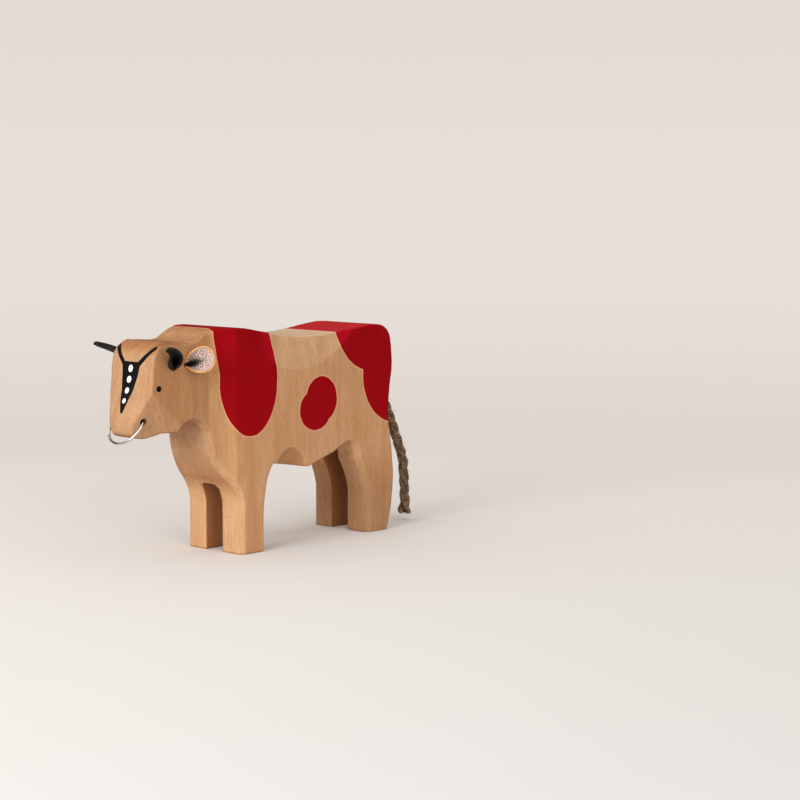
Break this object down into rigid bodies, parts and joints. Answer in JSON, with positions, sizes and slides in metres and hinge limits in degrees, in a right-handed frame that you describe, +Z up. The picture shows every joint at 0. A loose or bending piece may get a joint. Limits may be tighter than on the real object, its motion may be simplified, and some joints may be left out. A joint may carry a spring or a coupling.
{
  "type": "bull figurine",
  "caption": "Carved wooden bull figurine with rolled leather horns and ears, a wire nose ring that swings, and a cord tail.",
  "frame": {"origin": "middle of the figure's box without the tail, on the ground plane under the soles", "axes": "+X from the nose towards the rump, +Y towards the figure's right side, +Z up"},
  "size_m": [0.1604, 0.0476, 0.0896],
  "materials": {
    "wood": "sanded, with matt painted patches",
    "black_leather": "matt",
    "suede": "napped",
    "steel_wire": "bright",
    "jute_cord": "twisted, hairy"
  },
  "bodies": {
    "figure": {"body": "wood", "horn_left": "black_leather", "horn_right": "black_leather", "ear_left": "suede", "ear_right": "suede", "tail": "jute_cord"},
    "ring": {"nose_ring": "steel_wire"}
  },
  "joints": [
    {"name": "nose_ring_swing", "type": "hinge", "parent": "figure", "child": "ring", "pos_m": [-0.06188, 0, 0.05555], "axis": [0, 1, 0], "range_deg": [-40, 60]}
  ]
}
